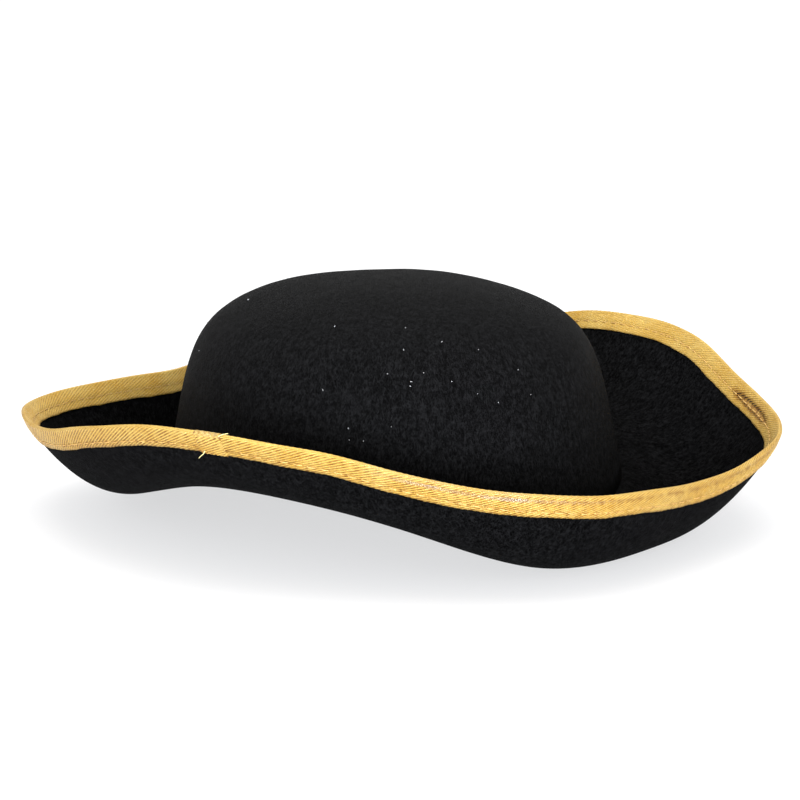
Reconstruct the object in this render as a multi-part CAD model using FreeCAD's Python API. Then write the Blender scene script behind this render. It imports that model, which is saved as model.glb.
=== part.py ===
import FreeCAD, Part
import math
import os

# Tricorn pirate hat in felt with a gold braid binding. Millimetres.
# The hat stands on its brim: Z = 0 is the table, the front corner points to -Y and the wearer's
# left is +X. Angles around the hat are counted from the front corner, and the hat is mirrored
# left to right, so the stations below cover half a turn.

Vector = FreeCAD.Vector

# Felt and trim
FELT = 1.8                  # thickness of the crown and brim felt
TAPE = 0.45                 # thickness of the folded gold braid
BINDING_LEG = 10.0          # how far the braid reaches down each face of the brim
SNUG = 0.08                 # clearance between the braid and the felt
SEAM_GAP = 0.35             # clearance between the crown, the collar and the sweatband

# Crown: an oval dome with a flattish top, slightly wider at its foot
CROWN_HALF_LENGTH = 103.0   # front to back, outside, at the foot
CROWN_HALF_WIDTH = 94.0     # side to side, outside, at the foot
CROWN_FOOT = 8.0            # height at which those two are measured
CROWN_TOP = 99.0            # highest point above the table
CROWN_BACK = 5.7            # the crown sits this far behind the brim's centre
CROWN_TAPER = 0.229         # extra width of the foot over the top
SHOULDER_TIGHTNESS = 7.4    # higher is a squarer shoulder
SHOULDER_ROUND = 2.1        # rounding of the shoulder towards the top

# Seam between crown and brim: a saddle, low at the front and back and high at the sides
SEAM_FRONT = 12.5
SEAM_SIDE = 31.0
COLLAR_HEIGHT = 10.0        # the brim's upturned edge inside the crown

# Brim, by angle from the front corner (degrees)
STATIONS = (0, 25, 50, 75, 100, 125, 150, 180)
BELLY_REACH = (118, 117, 114, 102, 105, 116, 119, 124)
BELLY_HEIGHT = (FELT / 2, 3, 20, 28, 27, 14, 4, FELT / 2)
RIM_REACH = (155, 161, 150, 151, 155, 158, 161, 135)
RIM_HEIGHT = (35.6, 40.2, 49.5, 61.7, 57.7, 44.5, 42.1, 41.2)

# Stitches
THREAD = 0.45
STITCH_LENGTH = 3.6
STITCH_PITCH = 5.4
STITCH_DOWN_INNER = 5.8     # from the rim to the row of stitches, on the brim's upper face
STITCH_DOWN_OUTER = 7.2     # the same on its lower, outer face

# Overlap where the braid's two ends meet
LAP_ANGLE = 277.0
LAP_SPAN = 4.5

# Sweatband inside the crown
BAND = 1.0
BAND_HEIGHT = 30.0
BAND_GAP = 1.2              # open butt joint at the back
BAND_STITCH_UP = 4.0        # from the band's lower edge to its row of stitches

# Care label sewn to the back of the sweatband, blank
LABEL_WIDTH = 22.0
LABEL_LENGTH = 22.0
LABEL_THICKNESS = 0.4
LABEL_HEADER = 4.0          # sewn-down top of the label
LABEL_HINGE_Z = 37.0
LABEL_OFF_BAND = 1.3        # the leaf's distance from the band, on the centre line
HINGE_GAP = 0.3

FULL_TURN = 2 * math.pi
RING_POINTS = 36
COLLAR_OFFSET = FELT + SEAM_GAP
BAND_OFFSET = COLLAR_OFFSET + FELT + SEAM_GAP


# ---- the crown's wall -------------------------------------------------------------------

def wall_length(z):
    """Half the crown's outside length, front to back, at a height."""
    level = min((z - CROWN_FOOT) / (CROWN_TOP - CROWN_FOOT), 1.0)
    shoulder = (1 - max(level, 0.0) ** SHOULDER_TIGHTNESS) ** (1 / SHOULDER_ROUND)
    taper = (1 + CROWN_TAPER * (1 - level)) / (1 + CROWN_TAPER)
    return CROWN_HALF_LENGTH * shoulder * taper


def wall_reach(angle, depth, z):
    """Distance from the brim's centre to the wall, `depth` inside its outer face."""
    length = wall_length(z) - depth
    width = length * CROWN_HALF_WIDTH / CROWN_HALF_LENGTH
    shift = CROWN_BACK / length
    a = (math.sin(angle) / width) ** 2 + (math.cos(angle) / length) ** 2
    b = 2 * math.cos(angle) / length * shift
    return (-b + math.sqrt(b * b - 4 * a * (shift * shift - 1))) / (2 * a)


def seam_height(x):
    return SEAM_FRONT + (SEAM_SIDE - SEAM_FRONT) * (x / CROWN_HALF_WIDTH) ** 2


def above_seam(angle, depth, lift):
    """Point on the wall, `depth` inside its outer face and `lift` above the seam."""
    z = SEAM_FRONT + lift
    for _ in range(4):
        x = wall_reach(angle, depth, z) * math.sin(angle)
        z = seam_height(x) + lift
    reach = wall_reach(angle, depth, z)
    return Vector(reach * math.sin(angle), -reach * math.cos(angle), z)


def root_reach(angle, depth):
    point = above_seam(angle, depth, 0)
    return math.hypot(point.x, point.y)


# ---- rings and skins --------------------------------------------------------------------

def ring(point_at):
    """Closed smooth curve through point_at(angle)."""
    angles = [FULL_TURN * i / RING_POINTS for i in range(RING_POINTS)]
    curve = Part.BSplineCurve()
    curve.interpolate(
        Points=[point_at(a) for a in angles],
        PeriodicFlag=True,
        Parameters=angles + [FULL_TURN],
    )
    return curve


def skin(rings):
    """Smooth face through rings; the last may be a single point, the pole of a dome."""
    count = rings[0].NbPoles
    rows = [[r] * count if isinstance(r, Vector) else r.getPoles() for r in rings]
    spread = [0.0]
    for row, following in zip(rows[:-1], rows[1:]):
        gaps = [(q - p).Length for p, q in zip(row, following)]
        spread.append(spread[-1] + sum(gaps) / len(gaps))
    grid = []
    for line in zip(*rows):
        across = Part.BSplineCurve()
        across.interpolate(Points=list(line), Parameters=spread)
        grid.append(across.getPoles())
    around_it = rings[0]
    surface = Part.BSplineSurface()
    surface.buildFromPolesMultsKnots(
        grid,
        around_it.getMultiplicities(),
        across.getMultiplicities(),
        around_it.getKnots(),
        across.getKnots(),
        True,
        False,
        around_it.Degree,
        across.Degree,
    )
    return surface.toShape()


def closed_solid(loops):
    """Solid whose skin passes through lists of rings, each list ending where the next starts."""
    shell = Part.makeShell([skin(rings) for rings in loops])
    shell.sewShape()
    solid = Part.makeSolid(Part.Shell(shell.Faces))
    if solid.Volume < 0:
        solid.reverse()
    return solid


# ---- crown ------------------------------------------------------------------------------

def wall_tilt(z):
    """How far the wall leans inwards from upright at a height, as an angle."""
    step = 0.05
    return math.atan((wall_length(z - step) - wall_length(min(z + step, CROWN_TOP))) / (2 * step))


def foot_height(angle, depth):
    """Height on the outer face from which the foot of the face `depth` inside it is reached."""
    z = SEAM_SIDE
    for _ in range(5):
        tilt = wall_tilt(z)
        length = wall_length(z) - depth * math.cos(tilt)
        x = length * CROWN_HALF_WIDTH / CROWN_HALF_LENGTH * math.sin(angle)
        z = seam_height(x) + SEAM_GAP + depth * math.sin(tilt)
    return z


def dome_rings(depth):
    """Rings up one face of the crown, from just above the seam to the pole."""
    def point_at(angle, climb):
        start = (foot_height(angle, depth) - CROWN_FOOT) / (CROWN_TOP - CROWN_FOOT)
        level = start + (1 - start) * math.sin(climb) ** (2 / SHOULDER_TIGHTNESS)
        z = CROWN_FOOT + (CROWN_TOP - CROWN_FOOT) * level
        tilt = wall_tilt(z)
        length = max(wall_length(z) - depth * math.cos(tilt), 0.0)
        width = length * CROWN_HALF_WIDTH / CROWN_HALF_LENGTH
        lower = depth * math.sin(tilt)
        return Vector(width * math.sin(angle), CROWN_BACK - length * math.cos(angle), z - lower)

    climbs = [0.0, 0.003, 0.03, 0.12] + [math.pi / 2 * step / 12 for step in range(2, 12)]
    rings = [ring(lambda angle, c=c: point_at(angle, c)) for c in climbs]
    return rings + [Vector(0, CROWN_BACK, CROWN_TOP - depth)]


def make_crown():
    outer = dome_rings(0)
    inner = dome_rings(FELT)
    return closed_solid([outer, inner, [inner[0], outer[0]]])


# ---- brim -------------------------------------------------------------------------------

def around(values):
    """Smooth function of the angle through the stations, level at the front and the back."""
    curve = Part.BSplineCurve()
    angles = [math.radians(a) for a in STATIONS]
    level = Vector(1, 0, 0)
    curve.interpolate(
        Points=[Vector(a, v, 0) for a, v in zip(angles, values)],
        Parameters=angles,
        InitialTangent=level,
        FinalTangent=level,
        Scale=False,
    )

    def value(angle):
        turn = angle % FULL_TURN
        return curve.value(min(turn, FULL_TURN - turn)).y

    return value


belly_reach = around(BELLY_REACH)
belly_height = around(BELLY_HEIGHT)
rim_reach = around(RIM_REACH)
rim_height = around(RIM_HEIGHT)


def brim_middle(angle, reach):
    """Point on the felt's middle surface at a distance from the brim's centre."""
    x = reach * math.sin(angle)
    root = root_reach(angle, 0)
    belly = belly_reach(angle)
    low = belly_height(angle)
    if reach <= root:
        z = seam_height(x) - FELT / 2
    elif reach <= belly:
        drop = (1 + math.cos(math.pi * (reach - root) / (belly - root))) / 2
        z = low + (seam_height(root * math.sin(angle)) - FELT / 2 - low) * drop
    else:
        climb = (reach - belly) / (rim_reach(angle) - belly)
        z = low + (rim_height(angle) - low) * climb ** 2
    return Vector(x, -reach * math.cos(angle), z)


def brim_point(angle, reach, off):
    """Point `off` above the felt's middle surface (below it when negative)."""
    step = 0.01
    along = brim_middle(angle, reach + step) - brim_middle(angle, reach - step)
    across = brim_middle(angle + step / 100, reach) - brim_middle(angle - step / 100, reach)
    normal = along.cross(across).normalize()
    if normal.z < 0:
        normal = normal * -1
    return brim_middle(angle, reach) + normal * off


def brim_ring(number, off):
    """Ring across the wall's foot (0), down to the belly (1 to 5) and up to the rim (6 to 9)."""
    def point_at(angle):
        root = root_reach(angle, 0)
        belly = belly_reach(angle)
        rim = rim_reach(angle)
        if number <= 5:
            reach = root + (belly - root) * (number - 1) / 4
        else:
            reach = belly + (rim - belly) * (number - 5) / 4
        if number == 0:
            reach = root_reach(angle, COLLAR_OFFSET + (0 if off > 0 else FELT))
        return brim_point(angle, reach, off)

    return ring(point_at)


def make_brim():
    top = [brim_ring(n, FELT / 2) for n in range(10)]
    bottom = [brim_ring(n, -FELT / 2) for n in range(10)]
    collar_out = ring(lambda angle: above_seam(angle, COLLAR_OFFSET, COLLAR_HEIGHT))
    collar_in = ring(lambda angle: above_seam(angle, COLLAR_OFFSET + FELT, COLLAR_HEIGHT))
    return closed_solid([
        top,
        [top[-1], bottom[-1]],
        bottom,
        [bottom[0], collar_in],
        [collar_in, collar_out],
        [collar_out, top[0]],
    ])


# ---- binding ----------------------------------------------------------------------------

def rim_slope_length(angle):
    """Reach taken up by one millimetre of felt at the rim."""
    rim = rim_reach(angle)
    piece = brim_middle(angle, rim) - brim_middle(angle, rim - 1)
    return 1 / piece.Length


def binding_point(angle, down, off):
    """Point `down` millimetres below the rim along the felt and `off` from its middle."""
    rim = rim_reach(angle)
    foot = brim_point(angle, rim - max(down, 0) * rim_slope_length(angle), off)
    outward = brim_middle(angle, rim) - brim_middle(angle, rim - 0.1)
    return foot + outward.normalize() * max(-down, 0)


def make_binding():
    near = FELT / 2 + SNUG
    far = near + TAPE
    lip = -SNUG - TAPE

    def rings(depths, off):
        return [ring(lambda angle, d=d: binding_point(angle, d, off)) for d in depths]

    depths = (BINDING_LEG, BINDING_LEG / 2, 0.0)
    top_out = rings(depths + (lip,), far)
    bottom_out = rings(depths + (lip,), -far)
    top_in = rings(depths + (-SNUG,), near)
    bottom_in = rings(depths + (-SNUG,), -near)
    return closed_solid([
        top_out,
        [top_out[-1], bottom_out[-1]],
        bottom_out,
        [bottom_out[0], bottom_in[0]],
        bottom_in,
        [bottom_in[-1], top_in[-1]],
        top_in,
        [top_in[0], top_out[0]],
    ])


def flat_outline(angle, points):
    """Closed outline moved into the upright plane at an angle."""
    flat = []
    for point in points:
        reach = math.hypot(point.x, point.y)
        flat.append(Vector(reach * math.sin(angle), -reach * math.cos(angle), point.z))
    return Part.makePolygon(flat + flat[:1])


def lap_section(angle):
    """Closed U-shaped outline of the overlapping tape end, one layer outside the binding."""
    near = FELT / 2 + SNUG + TAPE + SNUG / 2
    far = near + TAPE
    lip_in = -SNUG * 2 - TAPE
    lip_out = lip_in - TAPE
    leg = BINDING_LEG + 0.4
    outline = [
        (leg, near), (leg, far), (leg / 2, far), (lip_out, far),
        (lip_out, -far), (leg / 2, -far), (leg, -far), (leg, -near),
        (leg / 2, -near), (lip_in, -near), (lip_in, near), (leg / 2, near),
    ]
    points = [binding_point(angle, down, off) for down, off in outline]
    return flat_outline(angle, points)


def make_lap():
    start = math.radians(LAP_ANGLE)
    sections = [lap_section(start + math.radians(LAP_SPAN) * i / 3) for i in range(4)]
    return Part.makeLoft(sections, True, True)


# ---- stitches ---------------------------------------------------------------------------

def stitch(start, end):
    """Thread lying from one needle hole towards the next."""
    run = end - start
    return Part.makeCylinder(THREAD / 2, STITCH_LENGTH, start, run)


def row_of_stitches(point_at, skip):
    """Stitches at an even pitch along the closed line point_at(angle)."""
    line = ring(point_at).toShape()
    count = int(line.Length / STITCH_PITCH)
    points = line.discretize(Number=count + 1)
    stitches = []
    for start, end in zip(points[:-1], points[1:]):
        if not skip((start + end) * 0.5):
            stitches.append(stitch(start, end))
    return Part.makeCompound(stitches)


def on_the_lap(point):
    angle = math.degrees(math.atan2(point.x, -point.y)) % 360
    return LAP_ANGLE - 1.5 < angle < LAP_ANGLE + LAP_SPAN + 1.5


def binding_stitches(side):
    off = side * (FELT / 2 + SNUG + TAPE + THREAD / 2 + 0.05)
    down = STITCH_DOWN_INNER if side > 0 else STITCH_DOWN_OUTER
    return row_of_stitches(lambda angle: binding_point(angle, down, off), on_the_lap)


def near_the_label(point):
    return abs(point.x) < BAND_GAP + 3 and point.y > 0


def band_stitches():
    depth = BAND_OFFSET + BAND + THREAD / 2 + 0.1
    return row_of_stitches(lambda angle: above_seam(angle, depth, BAND_STITCH_UP), near_the_label)


# ---- sweatband and label ----------------------------------------------------------------

def band_section(angle):
    corners = []
    for depth, lift in ((0, SNUG), (0, BAND_HEIGHT), (BAND, BAND_HEIGHT), (BAND, SNUG)):
        corners.append(above_seam(angle, BAND_OFFSET + depth, lift))
    return Part.makePolygon(corners + corners[:1])


def make_band():
    """Open ring: its two ends meet at the back of the head."""
    back = wall_reach(math.pi, BAND_OFFSET, LABEL_HINGE_Z)
    first = BAND_GAP / 2 / back - math.pi
    span = -2 * first
    sections = [band_section(first + span * i / RING_POINTS) for i in range(RING_POINTS + 1)]
    return Part.makeLoft(sections, True, False)


def label_face_y():
    """Plane of the label's inner face, on the hat's centre line."""
    return wall_reach(math.pi, BAND_OFFSET + BAND, LABEL_HINGE_Z + LABEL_HEADER) - LABEL_OFF_BAND


def label_plate(low, high):
    """Piece of the label between two heights, standing in its own plane."""
    corner = Vector(-LABEL_WIDTH / 2, label_face_y(), low)
    return Part.makeBox(LABEL_WIDTH, LABEL_THICKNESS, high - low, corner)


def make_label_leaf():
    leaf = label_plate(LABEL_HINGE_Z - HINGE_GAP - LABEL_LENGTH, LABEL_HINGE_Z - HINGE_GAP)
    low_corners = [e for e in leaf.Edges
                   if e.BoundBox.YLength > LABEL_THICKNESS / 2
                   and e.BoundBox.XLength < 1
                   and e.BoundBox.ZLength < 1
                   and e.BoundBox.ZMax < LABEL_HINGE_Z - LABEL_LENGTH / 2]
    return leaf.makeFillet(2.0, low_corners)


def label_stitches():
    y = label_face_y() - THREAD / 2 - 0.02
    z = LABEL_HINGE_Z + LABEL_HEADER / 2
    count = int((LABEL_WIDTH - 2) / STITCH_PITCH)
    first = -(count - 1) / 2 * STITCH_PITCH - STITCH_LENGTH / 2
    stitches = []
    for i in range(count):
        start = Vector(first + i * STITCH_PITCH, y, z)
        stitches.append(stitch(start, start + Vector(1, 0, 0)))
    return Part.makeCompound(stitches)


# ---- write ------------------------------------------------------------------------------

def middle_of_depth():
    """Y half way between the foremost and rearmost points of the brim."""
    steps = [FULL_TURN * i / 720 for i in range(720)]
    far = FELT / 2 + SNUG + TAPE
    ys = []
    for angle in steps:
        ys.append(binding_point(angle, -SNUG - TAPE, far).y)
        ys.append(binding_point(angle, -SNUG - TAPE, -far).y)
    return (max(ys) + min(ys)) / 2


def make_all():
    return {
        "crown_felt": make_crown(),
        "brim_felt": make_brim(),
        "brim_binding": make_binding(),
        "binding_lap_end": make_lap(),
        "binding_stitches_inner_face": binding_stitches(1),
        "binding_stitches_outer_face": binding_stitches(-1),
        "sweatband": make_band(),
        "sweatband_stitches": band_stitches(),
        "care_label_header": label_plate(LABEL_HINGE_Z, LABEL_HINGE_Z + LABEL_HEADER),
        "care_label_leaf": make_label_leaf(),
        "care_label_stitches": label_stitches(),
    }


os.makedirs("parts", exist_ok=True)
to_centre = Vector(0, -middle_of_depth(), 0)
for name, shape in make_all().items():
    shape.translate(to_centre)
    shape.exportStep("parts/" + name + ".step")
    print(name, len(shape.Solids), shape.isValid(), round(shape.Volume, 1), flush=True)
print("label hinge y", round(label_face_y() + LABEL_THICKNESS / 2 + to_centre.y, 3))
print("crown centre y", round(CROWN_BACK + to_centre.y, 3))
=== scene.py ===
import math

import bpy
import numpy as np
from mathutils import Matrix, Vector, noise


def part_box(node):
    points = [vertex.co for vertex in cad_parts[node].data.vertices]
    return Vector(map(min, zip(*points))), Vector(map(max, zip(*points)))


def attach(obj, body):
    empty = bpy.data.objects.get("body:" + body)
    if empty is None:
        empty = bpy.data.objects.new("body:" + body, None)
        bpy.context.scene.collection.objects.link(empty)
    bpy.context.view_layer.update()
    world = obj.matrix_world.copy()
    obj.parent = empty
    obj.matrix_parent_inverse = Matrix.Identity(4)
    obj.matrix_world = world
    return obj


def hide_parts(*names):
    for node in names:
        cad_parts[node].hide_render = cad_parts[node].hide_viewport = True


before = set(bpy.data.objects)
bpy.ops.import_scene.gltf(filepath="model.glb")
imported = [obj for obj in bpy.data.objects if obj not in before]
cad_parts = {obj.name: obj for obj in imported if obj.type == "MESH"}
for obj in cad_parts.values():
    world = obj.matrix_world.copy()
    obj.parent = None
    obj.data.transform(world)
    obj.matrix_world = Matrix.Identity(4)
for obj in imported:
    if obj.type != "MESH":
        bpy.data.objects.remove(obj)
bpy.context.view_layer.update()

# Tricorn pirate hat. The shape is worked out in millimetres about the brim's centre, with the
# front corner towards -Y, and put into the frame's metres when a mesh is made.

MM = 0.001
TURN = 2 * math.pi
HAT = "hat"
LABEL = "label"

# Felt and trim, as in the CAD
FELT = 1.8
TAPE = 0.45
SNUG = 0.08
SEAM_GAP = 0.35
BINDING_LEG = 10.0

CROWN_HALF_LENGTH = 103.0
CROWN_HALF_WIDTH = 94.0
CROWN_FOOT = 8.0
CROWN_TOP = 99.0
CROWN_BACK = 5.7
CROWN_TAPER = 0.229
SHOULDER_TIGHTNESS = 7.4
SHOULDER_ROUND = 2.1

SEAM_FRONT = 12.5
SEAM_SIDE = 31.0
COLLAR_HEIGHT = 10.0

STATIONS = (0, 25, 50, 75, 100, 125, 150, 180)
BELLY_REACH = (118, 117, 114, 102, 105, 116, 119, 124)
BELLY_HEIGHT = (FELT / 2, 3, 20, 28, 27, 14, 4, FELT / 2)
RIM_REACH = (155, 161, 150, 151, 155, 158, 161, 135)
RIM_HEIGHT = (35.6, 40.2, 49.5, 61.7, 57.7, 44.5, 42.1, 41.2)

STITCH_PITCH = 5.4
STITCH_LENGTH = 3.6
STITCH_DOWN_INNER = 5.8
STITCH_DOWN_OUTER = 7.2
STITCH_SINK = 0.25
STITCH_ARCH = 0.42
STITCH_POINTS = 9
STITCH_DRIFT = 0.12
THREAD = 0.45

PINCH = 0.38                # share of the thickness that is pressed away at the rim
PINCH_FADE = 2.6            # down from the rim, where that has mostly worn off

LAP_ANGLE = 277.0
LAP_SPAN = 4.5

BAND = 1.0
BAND_HEIGHT = 30.0
BAND_GAP = 1.2
BAND_STITCH_UP = 4.0
COLLAR_OFFSET = FELT + SEAM_GAP
BAND_OFFSET = COLLAR_OFFSET + FELT + SEAM_GAP

LABEL_WIDTH = 22.0
LABEL_LENGTH = 22.0
LABEL_THICKNESS = 0.4
LABEL_HEADER = 4.0
LABEL_HINGE_Z = 37.0
LABEL_OFF_BAND = 1.3
HINGE_GAP = 0.3

# The brim's centre in the frame: the crown stands CROWN_BACK behind it.
crown_low, crown_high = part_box("crown_felt")
CENTRE_Y = (crown_low.y + crown_high.y) / 2 / MM - CROWN_BACK


# ---- shape of the hat -------------------------------------------------------------------

def around(values):
    """Cubic through the stations, level at the front and back, as a function of angles."""
    x = np.radians(STATIONS)
    y = np.array(values, float)
    h = np.diff(x)
    n = len(x)
    system = np.eye(n)
    right = np.zeros(n)
    for i in range(1, n - 1):
        system[i, i - 1] = 1 / h[i - 1]
        system[i, i] = 2 * (1 / h[i - 1] + 1 / h[i])
        system[i, i + 1] = 1 / h[i]
        right[i] = 3 * ((y[i] - y[i - 1]) / h[i - 1] ** 2 + (y[i + 1] - y[i]) / h[i] ** 2)
    slope = np.linalg.solve(system, right)

    def value(angle):
        turn = np.mod(angle, TURN)
        turn = np.minimum(turn, TURN - turn)
        i = np.clip(np.searchsorted(x, turn) - 1, 0, n - 2)
        t = (turn - x[i]) / h[i]
        return (y[i] * (1 + 2 * t) * (1 - t) ** 2 + slope[i] * h[i] * t * (1 - t) ** 2
                + y[i + 1] * t * t * (3 - 2 * t) + slope[i + 1] * h[i] * t * t * (t - 1))

    return value


belly_reach = around(BELLY_REACH)
belly_height = around(BELLY_HEIGHT)
rim_reach = around(RIM_REACH)
rim_height = around(RIM_HEIGHT)


def wall_length(z):
    """Half the crown's outside length, front to back, at a height."""
    level = np.clip((z - CROWN_FOOT) / (CROWN_TOP - CROWN_FOOT), None, 1.0)
    shoulder = (1 - np.maximum(level, 0.0) ** SHOULDER_TIGHTNESS) ** (1 / SHOULDER_ROUND)
    return CROWN_HALF_LENGTH * shoulder * (1 + CROWN_TAPER * (1 - level)) / (1 + CROWN_TAPER)


def wall_reach(angle, depth, z):
    """Distance from the brim's centre to the wall, `depth` inside its outer face."""
    length = wall_length(z) - depth
    width = length * CROWN_HALF_WIDTH / CROWN_HALF_LENGTH
    shift = CROWN_BACK / length
    a = (np.sin(angle) / width) ** 2 + (np.cos(angle) / length) ** 2
    b = 2 * np.cos(angle) / length * shift
    return (-b + np.sqrt(b * b - 4 * a * (shift * shift - 1))) / (2 * a)


def seam_height(x):
    """Height of the seam between crown and brim, which rises towards the sides."""
    return SEAM_FRONT + (SEAM_SIDE - SEAM_FRONT) * (x / CROWN_HALF_WIDTH) ** 2


def above_seam(angle, depth, lift):
    """Points on the wall, `depth` inside its outer face and `lift` above the seam."""
    z = SEAM_FRONT + lift + 0 * angle
    for _ in range(4):
        z = seam_height(wall_reach(angle, depth, z) * np.sin(angle)) + lift
    reach = wall_reach(angle, depth, z)
    return np.stack([reach * np.sin(angle), -reach * np.cos(angle), z], -1)


def root_reach(angle, depth=0.0):
    """Distance from the brim's centre to the seam, on the wall's face `depth` inside it."""
    point = above_seam(angle, depth, 0.0)
    return np.hypot(point[..., 0], point[..., 1])


def flutter(angle, rise):
    """Slow waviness of soft felt along the brim, nothing at the belly and most at the rim."""
    wave = (0.50 * np.cos(9 * (angle - math.radians(63))) + 0.22 * np.sin(14 * angle + 4.0)
            + 0.12 * np.sin(23 * angle + 1.3))
    return wave * rise ** 2


def brim_middle(angle, reach):
    """Points of the felt's middle surface at distances from the brim's centre."""
    x = reach * np.sin(angle)
    root = root_reach(angle)
    belly = belly_reach(angle)
    low = belly_height(angle)
    seam = seam_height(root * np.sin(angle)) - FELT / 2
    fall = np.clip((reach - root) / (belly - root), 0, 1)
    rise = np.clip((reach - belly) / (rim_reach(angle) - belly), 0, None)
    inner = low + (seam - low) * (1 + np.cos(math.pi * fall)) / 2
    outer = low + (rim_height(angle) - low) * rise ** 2 + flutter(angle, rise)
    z = np.where(reach <= root, seam_height(x) - FELT / 2, np.where(rise > 0, outer, inner))
    return np.stack([x, -reach * np.cos(angle), z], -1)


def unit(v):
    return v / np.linalg.norm(v, axis=-1, keepdims=True)


def brim_normal(angle, reach):
    """Upward normals of the felt's middle surface."""
    step = 0.02
    out = brim_middle(angle, reach + step) - brim_middle(angle, reach - step)
    along = brim_middle(angle + 1e-4, reach) - brim_middle(angle - 1e-4, reach)
    normal = unit(np.cross(out, along))
    return normal * np.where(normal[..., 2:] < 0, -1, 1)


def brim_point(angle, reach, off):
    """Points `off` above the felt's middle surface, below it when negative."""
    return brim_middle(angle, reach) + brim_normal(angle, reach) * np.asarray(off)[..., None]


def pinch(down):
    """Share of the thickness that is left where the binding presses the felt near the rim."""
    return 1 - PINCH * np.exp(-(np.maximum(down, 0) / PINCH_FADE) ** 2)


def rim_step(angle):
    """The way along the felt to the rim, over the last millimetre of reach."""
    rim = rim_reach(angle)
    return brim_middle(angle, rim) - brim_middle(angle, rim - 1)


def rim_point(angle, down, off):
    """Points `down` below the rim along the felt, beyond it when negative, and `off` from it."""
    step = rim_step(angle)
    reach = rim_reach(angle) - np.maximum(down, 0) / np.linalg.norm(step, axis=-1)
    return (brim_point(angle, reach, off * pinch(down))
            + unit(step) * np.maximum(-down, 0)[..., None])


def waves(angle, table):
    """Sum of waves round the hat, each given as a height, a count round and a phase."""
    return sum(height * np.sin(angle * count + phase) for height, count, phase in table)


def ridge(turns):
    """Smooth ridges between 0 and 1, one for each turn."""
    return 0.5 + 0.5 * np.cos(turns * TURN)


def bell(x, width):
    return math.exp(-(x / width) ** 2)


def steps_between(points):
    """Distances between neighbours along the first axis."""
    return np.linalg.norm(np.diff(points, axis=0), axis=-1)


def running_total(steps):
    """Sum up to each step, starting from 0."""
    return np.concatenate([[0], np.cumsum(steps)])


# ---- meshes -----------------------------------------------------------------------------

def into_frame(points):
    """Millimetres about the brim's centre, as metres in the frame."""
    return (np.asarray(points) + (0, CENTRE_Y, 0)) * MM


def new_mesh(name, points, faces, uv=None):
    """Smooth-shaded object from points in millimetres; uv gives a pair for each point."""
    mesh = bpy.data.meshes.new(name)
    mesh.from_pydata(into_frame(points).tolist(), [], faces)
    mesh.validate()
    if uv is not None:
        layer = mesh.uv_layers.new(name="weave")
        corners = np.empty(len(mesh.loops), np.int32)
        mesh.loops.foreach_get("vertex_index", corners)
        layer.data.foreach_set("uv", np.asarray(uv, np.float32)[corners].ravel())
    mesh.shade_smooth()
    piece = bpy.data.objects.new(name, mesh)
    bpy.context.scene.collection.objects.link(piece)
    return piece


def grid_faces(rows, columns, wrap_columns, wrap_rows=False, first=0):
    """Quads of a grid stored row by row, joined up round its columns or rows if asked."""
    faces = []
    for r in range(rows if wrap_rows else rows - 1):
        low = first + r * columns
        high = first + (r + 1) % rows * columns
        for c in range(columns if wrap_columns else columns - 1):
            d = (c + 1) % columns
            faces.append((low + c, low + d, high + d, high + c))
    return faces


def weave_map(along, across):
    """uv of a grid, from a value for each of its columns and one for each of its rows."""
    return np.stack(np.broadcast_arrays(along[None, :], across[:, None]), -1).reshape(-1, 2)


def point_values(piece, name, rows):
    """A number for each point of a mesh, which its material reads by name."""
    layer = piece.data.attributes.new(name, "FLOAT", "POINT")
    layer.data.foreach_set("value", np.concatenate(rows).astype(np.float32))


def end_caps(rows, columns):
    """The faces that close a strip's first and last columns, its rows wrapped round."""
    first = tuple(r * columns for r in range(rows))
    last = tuple(r * columns + columns - 1 for r in reversed(range(rows)))
    return [first, last]


def tubes(name, lines, radius, sides=8, taper=0.0):
    """One mesh of round threads along lines of points, closed at both ends."""
    points = []
    faces = []
    ring = np.linspace(0, TURN, sides, endpoint=False)
    for line in lines:
        line = np.asarray(line, float)
        along = unit(np.gradient(line, axis=0))
        side = unit(np.cross(along, (0.31, 0.22, 0.93)))
        other = np.cross(along, side)
        share = np.linspace(0, 1, len(line))
        size = radius * (1 - taper * share)
        circle = (np.cos(ring)[None, :, None] * side[:, None]
                  + np.sin(ring)[None, :, None] * other[:, None])
        first = len(points)
        tube = line[:, None] + circle * size[:, None, None]
        points.extend(tube.reshape(-1, 3))
        faces += grid_faces(len(line), sides, True, first=first)
        last = first + (len(line) - 1) * sides
        faces.append(tuple(range(first + sides - 1, first - 1, -1)))
        faces.append(tuple(range(last, last + sides)))
    return new_mesh(name, points, faces)


# ---- materials --------------------------------------------------------------------------

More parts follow.
